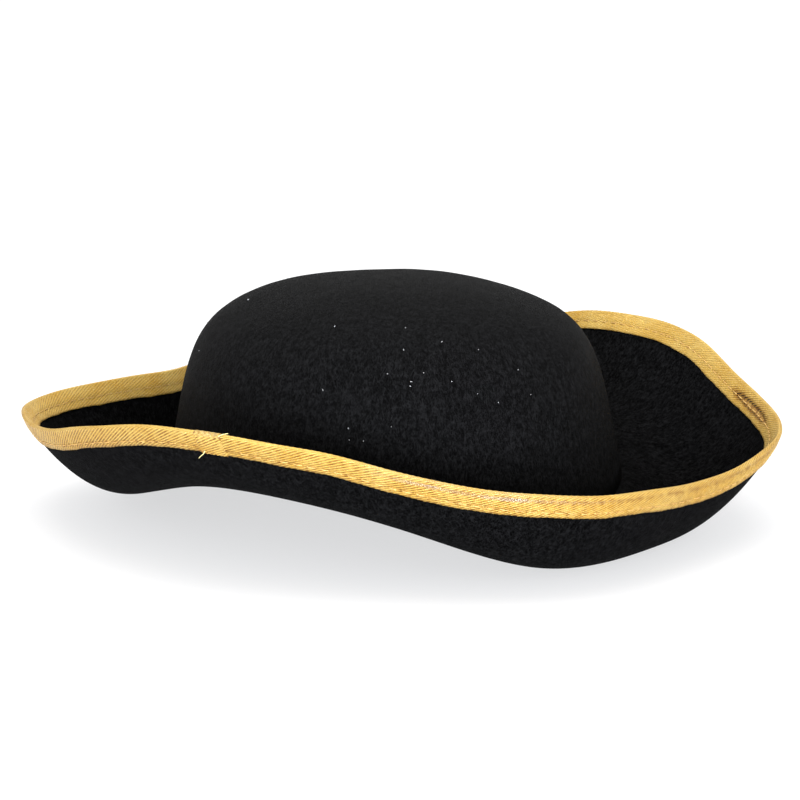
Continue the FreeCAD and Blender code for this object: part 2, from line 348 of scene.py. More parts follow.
class Shader:
    """Small helper that adds nodes to a new material."""

    def __init__(self, name):
        self.material = bpy.data.materials.new(name)
        self.material.use_nodes = True
        self.tree = self.material.node_tree
        self.surface = self.tree.nodes["Principled BSDF"]

    def node(self, kind, inputs=(), **settings):
        made = self.tree.nodes.new(kind)
        for key, value in settings.items():
            setattr(made, key, value)
        for key, value in dict(inputs).items():
            self.feed(made.inputs[key], value)
        return made

    def feed(self, socket, value):
        if isinstance(value, bpy.types.NodeSocket):
            self.tree.links.new(value, socket)
        else:
            socket.default_value = value

    def math(self, operation, a, b=0.0):
        made = self.node("ShaderNodeMath", {0: a, 1: b}, operation=operation)
        return made.outputs[0]

    def place(self, uv=False):
        made = self.node("ShaderNodeTexCoord")
        return made.outputs["UV" if uv else "Object"]

    def noise(self, where, scale, detail=2.0, rough=0.5):
        made = self.node("ShaderNodeTexNoise", {
            "Vector": where, "Scale": scale, "Detail": detail, "Roughness": rough})
        return made.outputs["Fac"]

    def stretched(self, where, turn, stretch):
        """Coordinates in which a pattern is drawn out along a direction, counted from X."""
        made = self.node("ShaderNodeMapping", {
            "Vector": where, "Rotation": (0, 0, turn), "Scale": (stretch, 1, 1)},
            vector_type="TEXTURE")
        return made.outputs[0]

    def remap(self, value, low, high, to_low=0.0, to_high=1.0):
        made = self.node("ShaderNodeMapRange", {
            "Value": value, "From Min": low, "From Max": high,
            "To Min": to_low, "To Max": to_high})
        return made.outputs[0]

    def fibres(self, where, scale, turns, stretch=9.0, fine=0.035):
        """Thin criss-cross fibres: ridges of stretched noise in several directions."""
        layers = []
        for i, turn in enumerate(turns):
            spot = self.stretched(where, turn, stretch)
            grain = self.noise(spot, scale * (1 + 0.17 * i), 1.0, 0.4)
            ridge = self.math("ABSOLUTE", self.math("SUBTRACT", grain, 0.5))
            layers.append(self.remap(ridge, 0.0, fine, 1.0, 0.0))
        top = layers[0]
        for layer in layers[1:]:
            top = self.math("MAXIMUM", top, layer)
        return top

    def mix(self, share, a, b, data_type="RGBA"):
        """Between two colours, or between two numbers when data_type is FLOAT."""
        made = self.node("ShaderNodeMix", {"Factor": share, "A": a, "B": b}, data_type=data_type)
        return made.outputs["Result"]

    def total(self, *parts):
        """Sum of values, each times its weight."""
        products = [self.math("MULTIPLY", value, weight) for value, weight in parts]
        added = products[0]
        for product in products[1:]:
            added = self.math("ADD", added, product)
        return added

    def bump(self, height, distance, strength=1.0, under=None):
        inputs = {"Height": height, "Distance": distance, "Strength": strength}
        if under is not None:
            inputs["Normal"] = under
        return self.node("ShaderNodeBump", inputs).outputs[0]

    def finish(self, **sockets):
        for key, value in sockets.items():
            self.feed(self.surface.inputs[key.replace("_", " ")], value)
        return self.material


# Linear colours
FELT_DARK = ((0.0002, 0.0002, 0.0002, 1), (0.0005, 0.0005, 0.0005, 1))
FELT_FIBRE = (0.0090, 0.0090, 0.0094, 1)
BRAID_GOLD = ((0.68, 0.405, 0.055, 1), (0.82, 0.575, 0.145, 1))
# Painted glint: a highlight laid into the braid's colour.
BRAID_GLINT = (0.98, 0.86, 0.42, 1)
# Painted shade between the ribs, along the seam, in the crease, at holes and between selvage loops.
BRAID_GROOVE_SHADE = (0.17, 0.058, 0.005, 1)
BRAID_YARN = (0.42, 0.20, 0.025, 1)
# Painted dark shadow in the puckered corner's furrow.
BRAID_FURROW_SHADOW = (0.030, 0.007, 0.001, 1)
# Dark wear, and a painted pale sparkle.
BRAID_WEAR_AND_SPARKLE = ((0.13, 0.070, 0.035, 1), (1.0, 0.86, 0.72, 1))
GOLD_THREAD = ((0.42, 0.20, 0.04, 1), (0.80, 0.54, 0.18, 1))
PALE_THREAD = ((0.72, 0.60, 0.20, 1), (0.95, 0.86, 0.42, 1))
BLACK_THREAD = ((0.006, 0.006, 0.007, 1), (0.03, 0.03, 0.032, 1))
WHITE_FLUFF = ((0.35, 0.35, 0.36, 1), (0.75, 0.75, 0.76, 1))
BLACK_GROSGRAIN = ((0.004, 0.004, 0.005, 1), (0.020, 0.020, 0.023, 1))
WHITE_SATIN = ((0.60, 0.60, 0.58, 1), (0.82, 0.82, 0.80, 1))

TOP_FADE = 0.014            # metres over which the fibres of a crown's top take over
WAVE_LENGTH = 0.314         # a wave texture's repeat at scale 1


def felt_material(name, gloss, top_from=None):
    """Black needle-punched felt, its fibres running mostly up the cloth.

    The weave map is in millimetres, along and up the cloth. Above the height top_from, in
    metres, the fibres lie every way in plan, as they do on a crown's top.
    """
    s = Shader(name)
    cloth = s.place(uv=True)
    solid = s.place()
    long_fibres = s.fibres(cloth, 0.80, (1.45, 1.75, 1.10, 2.15), 8.0, 0.050)
    short_fibres = s.fibres(cloth, 1.7, (0.2, 1.3, 2.6), 4.0, 0.060)
    if top_from is not None:
        plan = s.node("ShaderNodeVectorMath", {0: solid, "Scale": 1 / MM}, operation="SCALE")
        height = s.node("ShaderNodeSeparateXYZ", {0: solid}).outputs["Z"]
        on_top = s.remap(height, top_from, top_from + TOP_FADE)
        plan_fibres = s.fibres(plan.outputs[0], 0.75, (0.3, 1.0, 1.9, 2.6), 7.0, 0.050)
        long_fibres = s.mix(on_top, long_fibres, plan_fibres, "FLOAT")
    clumps = s.noise(solid, 480.0, 3.0, 0.65)
    mottle = s.noise(solid, 60.0, 3.0, 0.6)
    grain = s.noise(solid, 1000.0, 2.0, 0.65)
    lift = s.total((long_fibres, 0.9), (short_fibres, 0.45), (clumps, 0.6), (grain, 1.1))
    pale = s.total((long_fibres, s.remap(clumps, 0.35, 0.65, 0.1, 1.0)),
                   (short_fibres, s.remap(grain, 0.42, 0.66, 0.0, 0.6)))
    dark = s.mix(s.remap(mottle, 0.35, 0.7), *FELT_DARK)
    colour = s.mix(s.math("MINIMUM", pale, 1.0), dark, FELT_FIBRE)
    soft = s.bump(mottle, 0.0004, 0.4)
    return s.finish(
        Base_Color=colour,
        Roughness=0.68,
        Normal=s.bump(lift, 0.00013, 1.0, soft),
        Specular_IOR_Level=gloss,
        Sheen_Weight=0.001,
        Sheen_Roughness=0.30,
        Sheen_Tint=(0.86, 0.90, 1.0, 1),
    )


def braid_material(name):
    """Gold metallised braid: ribs with painted glints, painted amber shade in the grooves, and
    worn, dull colour with a painted pale sparkle on the fold.
    """
    s = Shader(name)
    cloth = s.place(uv=True)
    solid = s.place()
    painted_shade = s.node("ShaderNodeAttribute", attribute_name="painted_shade").outputs["Fac"]
    fold = s.node("ShaderNodeAttribute", attribute_name="fold").outputs["Fac"]
    yarns = s.fibres(cloth, 1.9, (0.50, 0.62, 2.2), 3.5, 0.12)
    patches = s.noise(solid, 55.0, 3.0, 0.55)
    glint = s.noise(cloth, 2.0, 2.0, 0.75)
    breaks = s.noise(solid, 420.0, 2.0, 0.6)
    wear = s.noise(solid, 38.0, 2.0, 0.5)
    bright = s.mix(s.remap(patches, 0.35, 0.68), *BRAID_GOLD)
    # Painted glints: in spots the gold is lightened towards a pale glint colour.
    bright = s.mix(s.remap(glint, 0.53, 0.68, 0.0, 0.95), bright, BRAID_GLINT)
    # Painted shade between the ribs, along the seam, in the crease, at holes and between selvage
    # loops.
    shade = s.math("MULTIPLY", s.remap(painted_shade, 0.12, 0.75, 0.0, 0.97),
                   s.remap(breaks, 0.38, 0.62, 0.45, 1.0))
    colour = s.mix(shade, bright, BRAID_GROOVE_SHADE)
    colour = s.mix(s.math("MULTIPLY", yarns, 0.35), colour, BRAID_YARN)
    # Only the furrow of the puckered corner has a value over 1: a dark painted shadow.
    colour = s.mix(s.remap(painted_shade, 1.05, 1.45), colour, BRAID_FURROW_SHADOW)
    # Worn colour: dark where the gold is rubbed off, with a painted pale sparkle.
    wear_and_sparkle = s.mix(s.remap(glint, 0.49, 0.58), *BRAID_WEAR_AND_SPARKLE)
    wear_and_sparkle_share = s.math("MULTIPLY", fold, s.remap(wear, 0.46, 0.62, 0.30, 0.95))
    colour = s.mix(wear_and_sparkle_share, colour, wear_and_sparkle)
    lift = s.total((yarns, -0.8), (glint, 1.0))
    return s.finish(
        Base_Color=colour,
        Metallic=0.45,
        Roughness=s.remap(glint, 0.35, 0.70, 0.50, 0.26),
        Normal=s.bump(lift, 0.00022, 0.9),
        Specular_IOR_Level=0.22,
    )


def thread_material(name, low, high, metallic, roughness):
    """Twisted sewing thread."""
    s = Shader(name)
    solid = s.place()
    grain = s.noise(solid, 2600.0, 2.0, 0.6)
    colour = s.mix(s.remap(grain, 0.35, 0.65), low, high)
    return s.finish(
        Base_Color=colour,
        Metallic=metallic,
        Roughness=roughness,
        Normal=s.bump(grain, 0.00008, 0.8),
    )


def ribbon_material(name, low, high, rib_mm, roughness, sheen):
    """Woven ribbon with cross ribs; the weave map is in millimetres."""
    s = Shader(name)
    cloth = s.place(uv=True)
    rib = s.node("ShaderNodeTexWave", {
        "Vector": cloth, "Scale": WAVE_LENGTH / rib_mm, "Distortion": 0.25, "Detail": 1.0},
        bands_direction="X").outputs["Fac"]
    pick = s.node("ShaderNodeTexWave", {
        "Vector": cloth, "Scale": WAVE_LENGTH / (rib_mm * 0.45), "Distortion": 0.3},
        bands_direction="Y").outputs["Fac"]
    age = s.noise(s.place(), 70.0, 3.0, 0.6)
    lift = s.math("ADD", rib, s.math("MULTIPLY", pick, 0.45))
    colour = s.mix(s.remap(lift, 0.1, 1.2), low, high)
    colour = s.mix(s.remap(age, 0.4, 0.8, 0.0, 0.25), colour, low)
    return s.finish(
        Base_Color=colour,
        Roughness=roughness,
        Normal=s.bump(lift, 0.00012, 0.8),
        Sheen_Weight=sheen,
        Sheen_Roughness=0.4,
    )


# ---- crown ------------------------------------------------------------------------------

AROUND_CROWN = 360
UP_CROWN = 110
CLIMB_POWER = 2.2
POLE_GAP = 0.012            # climb that is left to the pole's single point
FOOT_FADE = 0.02            # climb over which the unevenness sets in
CROWN_HEART = 30.0          # height of the point that the unevenness swells away from
WEAVE_ROUND_CROWN = 594.0   # millimetres of the weave map round the crown
WEAVE_INSIDE = 500.0        # how far along the map the inner face is laid


def wall_tilt(z):
    """How far the wall leans inwards from upright at a height, as an angle."""
    step = 0.05
    inwards = wall_length(z - step) - wall_length(np.minimum(z + step, CROWN_TOP))
    return np.arctan(inwards / (2 * step))


def foot_height(angle, depth):
    """Height on the outer face from which the foot of the face `depth` inside it is reached."""
    z = SEAM_SIDE + 0 * angle
    for _ in range(5):
        tilt = wall_tilt(z)
        length = wall_length(z) - depth * np.cos(tilt)
        x = length * CROWN_HALF_WIDTH / CROWN_HALF_LENGTH * np.sin(angle)
        z = seam_height(x) + SEAM_GAP + depth * np.sin(tilt)
    return z


def dome_grid(angles, climbs, depth):
    """Points up one face of the crown: climb 0 at the seam, pi/2 at the pole."""
    angle = angles[None, :]
    start = (foot_height(angle, depth) - CROWN_FOOT) / (CROWN_TOP - CROWN_FOOT)
    level = start + (1 - start) * np.sin(climbs)[:, None] ** (2 / SHOULDER_TIGHTNESS)
    z = CROWN_FOOT + (CROWN_TOP - CROWN_FOOT) * level
    tilt = wall_tilt(z)
    length = np.maximum(wall_length(z) - depth * np.cos(tilt), 0.0)
    return np.stack([length * CROWN_HALF_WIDTH / CROWN_HALF_LENGTH * np.sin(angle),
                     CROWN_BACK - length * np.cos(angle), z - depth * np.sin(tilt)], -1)


def crown_unevenness(points):
    """Gentle hollows and swells of a moulded felt crown, in millimetres."""
    swell = np.empty(points.shape[:-1])
    for index in np.ndindex(swell.shape):
        place = Vector(points[index].tolist())
        low = noise.noise(place * 0.022)
        fine = noise.noise(place * 0.09 + Vector((7, 3, 1)))
        swell[index] = 0.9 * low + 0.16 * fine
    return swell


def make_crown(material):
    angles = np.linspace(0, TURN, AROUND_CROWN, endpoint=False)
    # Even steps up the wall and over the shoulder need small climbs near the foot.
    climbs = np.linspace(0, 1, UP_CROWN) ** CLIMB_POWER * (math.pi / 2 - POLE_GAP)
    outer = dome_grid(angles, climbs, 0.0)
    inner = dome_grid(angles, climbs, FELT)
    outward = unit(outer - (0, CROWN_BACK, CROWN_HEART))
    fade = np.clip(climbs / FOOT_FADE, 0, 1)[:, None] ** 0.5
    swell = (crown_unevenness(outer) * fade)[..., None] * outward
    outer = outer + swell
    inner = inner + swell
    up = running_total(steps_between(outer).mean(1))
    # The weave map is as long round the crown at every height, so it crowds where the dome
    # closes. There felt_material goes over to fibres laid in plan.
    uv_out = weave_map(angles / TURN * WEAVE_ROUND_CROWN, up)
    uv_poles = [(0, up[-1] + 1), (WEAVE_INSIDE, up[-1] + 1)]
    uv = np.concatenate([uv_out, uv_out + (WEAVE_INSIDE, 0), uv_poles])
    poles = [(0, CROWN_BACK, face[-1, :, 2].mean()) for face in (outer, inner)]
    points = np.concatenate([outer.reshape(-1, 3), inner.reshape(-1, 3), poles])
    count = UP_CROWN * AROUND_CROWN
    faces = grid_faces(UP_CROWN, AROUND_CROWN, True)
    faces += [f[::-1] for f in grid_faces(UP_CROWN, AROUND_CROWN, True, first=count)]
    for c in range(AROUND_CROWN):
        d = (c + 1) % AROUND_CROWN
        faces.append((d, c, count + c, count + d))
    last = count - AROUND_CROWN
    for c in range(AROUND_CROWN):
        d = (c + 1) % AROUND_CROWN
        faces.append((last + c, last + d, 2 * count))
        faces.append((count + last + d, count + last + c, 2 * count + 1))
    piece = new_mesh("crown", points, faces, uv)
    dress(piece, material, "felt", HAT, "crown_felt")


# ---- brim -------------------------------------------------------------------------------

AROUND_BRIM = 576
BRIM_WEAVE_RADIUS = 125.0   # where the weave map's millimetres along the brim are true


def brim_reaches(angle, count_down=14, count_up=34):
    """Distances from the wall's foot down to the belly and up to the rim, one row each."""
    root = root_reach(angle)
    belly = belly_reach(angle)
    rim = rim_reach(angle)
    down = [root + (belly - root) * f for f in np.linspace(0, 1, count_down, endpoint=False)]
    up = [belly + (rim - belly) * f for f in np.linspace(0, 1, count_up)]
    return down + up


def make_brim(material):
    angle = np.linspace(0, TURN, AROUND_BRIM, endpoint=False)
    reaches = brim_reaches(angle)
    steep = np.linalg.norm(rim_step(angle), axis=-1)
    half = [FELT / 2 * pinch((rim_reach(angle) - r) * steep) for r in reaches]
    top = [brim_point(angle, r, h) for r, h in zip(reaches, half)]
    bottom = [brim_point(angle, r, -h) for r, h in zip(reaches[::-1], half[::-1])]
    out_foot = brim_point(angle, root_reach(angle, COLLAR_OFFSET), FELT / 2 + 0 * angle)
    in_foot = brim_point(angle, root_reach(angle, COLLAR_OFFSET + FELT), -FELT / 2 + 0 * angle)
    collar_in = above_seam(angle, COLLAR_OFFSET + FELT, COLLAR_HEIGHT)
    collar_out = above_seam(angle, COLLAR_OFFSET, COLLAR_HEIGHT)
    rows = [out_foot] + top + bottom + [in_foot, collar_in, collar_out]
    points = np.stack(rows)
    uv = weave_map(angle * BRIM_WEAVE_RADIUS, running_total(steps_between(points).mean(1)))
    faces = [f[::-1] for f in grid_faces(len(rows), AROUND_BRIM, True, wrap_rows=True)]
    piece = new_mesh("brim", points.reshape(-1, 3), faces, uv)
    dress(piece, material, "felt", HAT, "brim_felt")


# ---- binding ----------------------------------------------------------------------------

RIBS = 400                  # twill ribs round the whole rim
RIB_RUN = 2.5               # millimetres along the tape from rib to rib
RIB_STEPS = 6               # mesh columns to a rib
RIB_SLANT = 1.9             # millimetres a rib runs along for each millimetre across
RIB_LIFT = 0.24
LEG_ROWS = 13
LEG_END = 0.5               # down from the rim, where each leg gives way to the fold
FOLD_START = 0.35
FOLD_POWER = 0.55           # below 1, which squares the fold's section
TAPE_FACE = FELT / 2 + SNUG + TAPE
MEASURED_DOWN = 4.0         # down from the rim, where the tape's length is taken

# The tape's relief, in millimetres: places down from the rim, widths and depths.
SELVAGE_IN = 0.3
SELVAGE_WIDTH = 0.7
SELVAGE_LIFT = 0.26
SELVAGE_LOOP = 0.28
SEAM_WIDTH = 0.6
SEAM_DIP = 0.22
HOLE_DIP_INNER = 0.30
HOLE_DIP_OUTER = 0.10
CREASE_DOWN = 1.6
CREASE_WIDTH = 0.6
CREASE_DIP = 0.18
CREASE_INNER = 0.3          # how much of the crease shows on the inner side
FURROW_DOWN = 5.2
FURROW_WIDTH = 1.9
FURROW_DIP = 0.65
WANDER = ((0.16, 31, 1), (0.12, 67, 2), (0.08, 133, 0))


def rib_profile(leg_rows):
    """Places across the tape from the outer leg's edge over the fold to the inner leg's edge.

    Each is (down from the rim, off the felt's middle, share of the lift outwards along the felt).
    """
    legs = BINDING_LEG - (BINDING_LEG - LEG_END) * np.linspace(0, 1, leg_rows)
    outer = [(d, -TAPE_FACE, 0.0) for d in legs]
    fold = []
    for turn in np.linspace(0, math.pi, 9)[1:-1]:
        out = math.sin(turn) ** FOLD_POWER
        side = math.copysign(abs(math.cos(turn)) ** FOLD_POWER, math.cos(turn))
        fold.append((FOLD_START - (FOLD_START + SNUG + TAPE) * out, -TAPE_FACE * side, out))
    inner = [(d, TAPE_FACE, 0.0) for d in legs[::-1]]
    return outer + fold + inner


def rim_stretch(angle, middle, spread, power):
    """1 along a stretch of the rim and 0 elsewhere, in degrees; its ends are steeper with power."""
    aside = np.mod(angle - math.radians(middle) + math.pi, TURN) - math.pi
    return np.exp(-(aside / math.radians(spread)) ** power)


def tip_pucker(angle):
    """Where the braid is puckered, round the brim's right-hand corner."""
    return rim_stretch(angle, 41.5, 6.5, 4)


def fold_wear_and_sparkle(angle):
    """Where the fold is rubbed bare of its gold, with a painted pale sparkle there."""
    return rim_stretch(angle, 320, 15, 4)


def lip_crease(angle):
    """Where a crease runs under the lip, on the outside."""
    return rim_stretch(angle, 350, 36, 6)


def seam_shadow(angle):
    """How strong the painted brown shade along the row of stitches is, deepest by the overlap of
    the braid's ends.
    """
    return 0.30 + 0.45 * rim_stretch(angle, 275, 30, 2)


def groove_shade(rib, out):
    """Painted shade between the tape's ribs, a little less on the fold."""
    return (1 - rib) ** 1.1 * (1 - 0.35 * out)


def make_binding(material):
    columns = RIBS * RIB_STEPS
    start = np.linspace(0, TURN, columns, endpoint=False)
    line = rim_point(start, MEASURED_DOWN + 0 * start, 0 * start)
    gaps = np.linalg.norm(np.roll(line, -1, 0) - line, axis=-1)
    length = gaps.sum()
    # Columns are spread evenly along the rim, and each leans with the ribs.
    far = running_total(gaps)
    even = np.arange(columns) / columns * length
    turns = np.concatenate([start, [TURN]])
    rib = ridge(np.arange(columns) / RIB_STEPS)
    rows, painted_shades, folds, uvs = [], [], [], []
    travel = 0.0
    profile = rib_profile(LEG_ROWS)
    for i, (down, off, out) in enumerate(profile):
        if i:
            travel += math.dist(profile[i][:2], profile[i - 1][:2])
        along = even + travel * RIB_SLANT
        angle = np.interp(np.mod(along, length), far, turns)
        outer_side = off < 0
        d = max(down, 0.0)
        selvage = bell(d - BINDING_LEG + SELVAGE_IN, SELVAGE_WIDTH)
        seam = bell(d - (STITCH_DOWN_OUTER if outer_side else STITCH_DOWN_INNER), SEAM_WIDTH)
        wear_and_sparkle = fold_wear_and_sparkle(angle)
        crease = bell(d - CREASE_DOWN, CREASE_WIDTH)
        crease *= np.maximum(wear_and_sparkle, lip_crease(angle)) if outer_side else CREASE_INNER
        holes = ridge(along / length * round(length / STITCH_PITCH)) ** 8
        rope = ridge(along / length * 2 * RIBS)
        furrow = 0.0 if outer_side else tip_pucker(angle) * bell(d - FURROW_DOWN, FURROW_WIDTH)
        lift = RIB_LIFT * rib * (1 - selvage) * (1 - 0.4 * out)
        lift = lift + SELVAGE_LIFT * selvage * (0.4 + 0.6 * rope)
        lift = lift - SEAM_DIP * seam - CREASE_DIP * crease
        lift = lift - (HOLE_DIP_OUTER if outer_side else HOLE_DIP_INNER) * holes * seam
        lift = lift - FURROW_DIP * furrow
        wander = waves(angle, WANDER) * (d / BINDING_LEG) ** 3
        at_down = down + wander + SELVAGE_LOOP * (rope - 0.5) * selvage
        side = np.sign(off) * (1 - out)
        rows.append(rim_point(angle, at_down - lift * out, off + side * lift))
        # Painted shade between the ribs, along the seam, in the crease, at the stitch holes and
        # between the loops of the selvage.
        shade = groove_shade(rib, out) + seam_shadow(angle) * seam * (1.4 - 0.6 * rib)
        shade = shade + 0.5 * crease + 0.8 * holes * seam * (0.35 if outer_side else 1.0)
        shade = np.clip(shade + 0.5 * selvage * (1 - rope), 0, 1) * (1.0 if outer_side else 0.5)
        # The puckered corner's furrow gets a dark painted shadow on top of the shade.
        painted_shades.append(shade + furrow * (1.35 + 1.5 * (1 - rib)))
        # How much worn colour with painted sparkle goes on: the fold and crease, mostly on the worn
        # stretch.
        folds.append(np.clip(0.4 * out + 1.3 * crease, 0, 1) * (0.06 + 0.94 * wear_and_sparkle))
        uvs.append(np.stack([along, travel + 0 * along], -1))
    lining = ((BINDING_LEG, FELT / 2 + SNUG), (0.2, FELT / 2 + SNUG),
              (0.2, -FELT / 2 - SNUG), (BINDING_LEG, -FELT / 2 - SNUG))
    for i, (down, off) in enumerate(lining):
        # The lining rows lean back again, so that they meet the first row.
        along = even + travel * RIB_SLANT * (1 - (i + 0.5) / len(lining))
        angle = np.interp(np.mod(along, length), far, turns)
        rows.append(rim_point(angle, down + 0 * angle, off + 0 * angle))
        # The hidden lining is painted in full shade.
        painted_shades.append(np.ones(columns))
        folds.append(np.zeros(columns))
        uvs.append(np.stack([along, travel + 0 * along], -1))
    points = np.stack(rows)
    faces = grid_faces(len(points), columns, True, wrap_rows=True)
    piece = new_mesh("binding", points.reshape(-1, 3), faces, np.stack(uvs).reshape(-1, 2))
    point_values(piece, "painted_shade", painted_shades)
    point_values(piece, "fold", folds)
    dress(piece, material, "gold_braid", HAT, "brim_binding")


# ---- the braid's overlap, its stitches and its loose threads ------------------------------

LAP_COLUMNS = 70
LAP_LEG = BINDING_LEG + 0.4
LAP_RIBS = 5.0
LAP_RUN = 12.0              # millimetres along the tape from the overlap's start to its end
LAP_ROWS = 60
LAP_CLEAR = 0.12            # from the tape beneath to the overlap's hidden face
LAP_THICKNESS = 0.14
LAP_END = 0.06              # share of the overlap's run over which an end is pressed down
LAP_END_DIP = 0.12
LAP_SELVAGE_LIFT = 0.3
LAP_FRAY = 0.22
LAP_MARGIN = 1.5            # degrees beside the overlap that stay without stitches

LOOSE_THREAD = 0.21


def make_lap(material):
    """The end of the tape, lying over its other end; its ribs slant as the binding's do."""
    share = np.linspace(0, 1, LAP_COLUMNS)
    angle = np.radians(LAP_ANGLE + LAP_SPAN * share)
    ends = np.exp(-((share - 1) / LAP_END) ** 2) + np.exp(-(share / LAP_END) ** 2)
    shapes, painted_shades, folds, uvs = [], [], [], []
    for layer in (1, 0):
        raised = LAP_CLEAR + layer * LAP_THICKNESS
        profile = []
        travel = 0.0
        for down, off, out in rib_profile(LAP_ROWS):
            down = down - raised * out if out else down * LAP_LEG / BINDING_LEG
            profile.append((down, off * (TAPE_FACE + raised) / TAPE_FACE, out))
        order = profile if layer else profile[::-1]
        for i, (down, off, out) in enumerate(order):
            if i:
                travel += math.dist(order[i][:2], order[i - 1][:2])
            d = max(down, 0.0)
            rib = ridge(share * LAP_RIBS - travel * RIB_SLANT / RIB_RUN)
            selvage = bell(d - LAP_LEG + SELVAGE_IN, SELVAGE_WIDTH)
            lift = RIB_LIFT * rib * (1 - selvage) + LAP_SELVAGE_LIFT * selvage - LAP_END_DIP * ends
            lift = layer * lift
            frayed = LAP_FRAY * np.sin(share * 47 + off) * (d / LAP_LEG) ** 4
            side = math.copysign(1 - out, off)
            shapes.append(rim_point(angle, down - lift * out + frayed, off + side * lift))
            # Painted shade between the ribs and at the pressed-down ends; the hidden layer is in
            # full shade.
            shade = groove_shade(rib, out) + 0.3 * ends
            painted_shades.append(np.clip(shade, 0, 1) if layer else np.ones(LAP_COLUMNS))
            # A little worn colour with painted sparkle over the overlap's fold.
            folds.append(np.full(LAP_COLUMNS, 0.3 * out))
            uvs.append(np.stack([share * LAP_RUN + travel * RIB_SLANT, travel + 0 * share], -1))
    points = np.stack(shapes)
    count = len(points)
    faces = grid_faces(count, LAP_COLUMNS, False, wrap_rows=True) + end_caps(count, LAP_COLUMNS)
    piece = new_mesh("binding_lap", points.reshape(-1, 3), faces, np.stack(uvs).reshape(-1, 2))
    point_values(piece, "painted_shade", painted_shades)
    point_values(piece, "fold", folds)
    dress(piece, material, "gold_braid", HAT, "binding_lap_end")


def arc_between(start, end, bulge, points=9):
    """Points of a shallow arch from one place to another, rising by `bulge`."""
    share = np.linspace(0, 1, points)[:, None]
    return start + (end - start) * share + np.asarray(bulge) * np.sin(math.pi * share)


def even_places(point_at, pitch):
    """Angles at an even pitch along a closed line, from the front, and the turn of a stitch."""
    turns = np.linspace(0, TURN, 2881)
    line = point_at(turns)
    far = running_total(steps_between(line))
    count = int(far[-1] / pitch)
    places = np.interp(np.arange(count) / count * far[-1], far, turns)
    return places, TURN * STITCH_LENGTH / far[-1]


def stitch_rise(share):
    """Height of a stitch's thread over the cloth along its length, sunk in at both ends."""
    return STITCH_ARCH * np.sin(math.pi * share) ** 0.5 - STITCH_SINK


def make_binding_stitches(side, material):
    """The row on one face of the brim: side is 1 for the inner face, -1 for the outer."""
    off = side * TAPE_FACE
    down = STITCH_DOWN_INNER if side > 0 else STITCH_DOWN_OUTER
    angles, run = even_places(lambda a: rim_point(a, down + 0 * a, off + 0 * a), STITCH_PITCH)
    lines = []
    for angle in angles:
        if -LAP_MARGIN < math.degrees(angle) - LAP_ANGLE < LAP_SPAN + LAP_MARGIN:
            continue
        share = np.linspace(0, 1, STITCH_POINTS)
        turn = angle + run * share
        drift = STITCH_DRIFT * math.sin(angle * 53)
        lines.append(rim_point(turn, down + drift + 0 * turn, off + side * stitch_rise(share)))
    name = "stitches_inner_face" if side > 0 else "stitches_outer_face"
    piece = tubes(name, lines, THREAD / 2, sides=6)
    dress(piece, material, "gold_thread", HAT, "binding_" + name)


def smooth_path(path, steps=6):
    """Finer points along a path, its corners rounded."""
    path = np.array(path, float)
    share = np.linspace(0, len(path) - 1, steps * len(path))
    kernel = np.ones(5) / 5
    columns = []
    for k in range(3):
        fine = np.interp(share, range(len(path)), path[:, k])
        columns.append(np.convolve(np.pad(fine, 2, mode="edge"), kernel, "valid"))
    return columns


def loose_threads(material):
    """Frayed ends at the overlap: (degrees on from its start, down, off) along each."""
    low = -TAPE_FACE - TAPE
    paths = (
        ((3.9, 0.6, low + 0.4), (4.3, -0.9, low + 0.8),
         (4.9, -1.7, low + 1.6), (5.9, -2.3, low + 2.4)),
        ((0.9, 8.2, low - 0.2), (0.5, 9.8, low - 0.7),
         (-0.3, 11.6, low - 1.0), (-1.0, 13.6, low - 0.9)),
    )
    lines = []
    for path in paths:
        turn, down, off = smooth_path(path)
        lines.append(rim_point(np.radians(LAP_ANGLE + turn), down, off))
    piece = tubes("frayed_ends", lines, LOOSE_THREAD, sides=6, taper=0.35)
    dress(piece, material, "gold_thread", HAT)


# ---- sweatband --------------------------------------------------------------------------

BAND_COLUMNS = 480
BAND_ROWS = 14
BAND_EDGE = (0.25, 0.06)    # how far the faces draw in at the two rows nearest an edge
BAND_RIPPLE = ((0.10, 21, 0), (0.07, 47, 1))
BAND_WEAVE_RADIUS = 92.0
BAND_STITCHES_END = 3.0     # how far short of the gap the row of stitches ends


def make_band(material):
    back = wall_reach(np.array([math.pi]), BAND_OFFSET, LABEL_HINGE_Z)[0]
    first = BAND_GAP / 2 / back - math.pi
    angle = np.linspace(first, -first, BAND_COLUMNS)
    lifts = np.linspace(SEAM_GAP, BAND_HEIGHT, BAND_ROWS)
    drawn_in = np.concatenate([BAND_EDGE, np.zeros(BAND_ROWS - 4), BAND_EDGE[::-1]])
    ripple = waves(angle, BAND_RIPPLE)

    def row(lift, depth):
        return above_seam(angle, BAND_OFFSET + depth + (lift / BAND_HEIGHT) ** 2 * ripple, lift)

    rows = [row(lift, BAND - edge) for lift, edge in zip(lifts, drawn_in)]
    rows += [row(lift, edge) for lift, edge in zip(lifts[::-1], drawn_in)]
    points = np.stack(rows)
    count = len(points)
    faces = grid_faces(count, BAND_COLUMNS, False, wrap_rows=True)
    faces += [f[::-1] for f in end_caps(count, BAND_COLUMNS)]
    across = np.concatenate([lifts, 2 * BAND_HEIGHT - lifts[::-1]])
    uv = weave_map(angle * BAND_WEAVE_RADIUS, across)
    piece = new_mesh("sweatband", points.reshape(-1, 3), faces, uv)
    dress(piece, material, "black_tape", HAT, "sweatband")


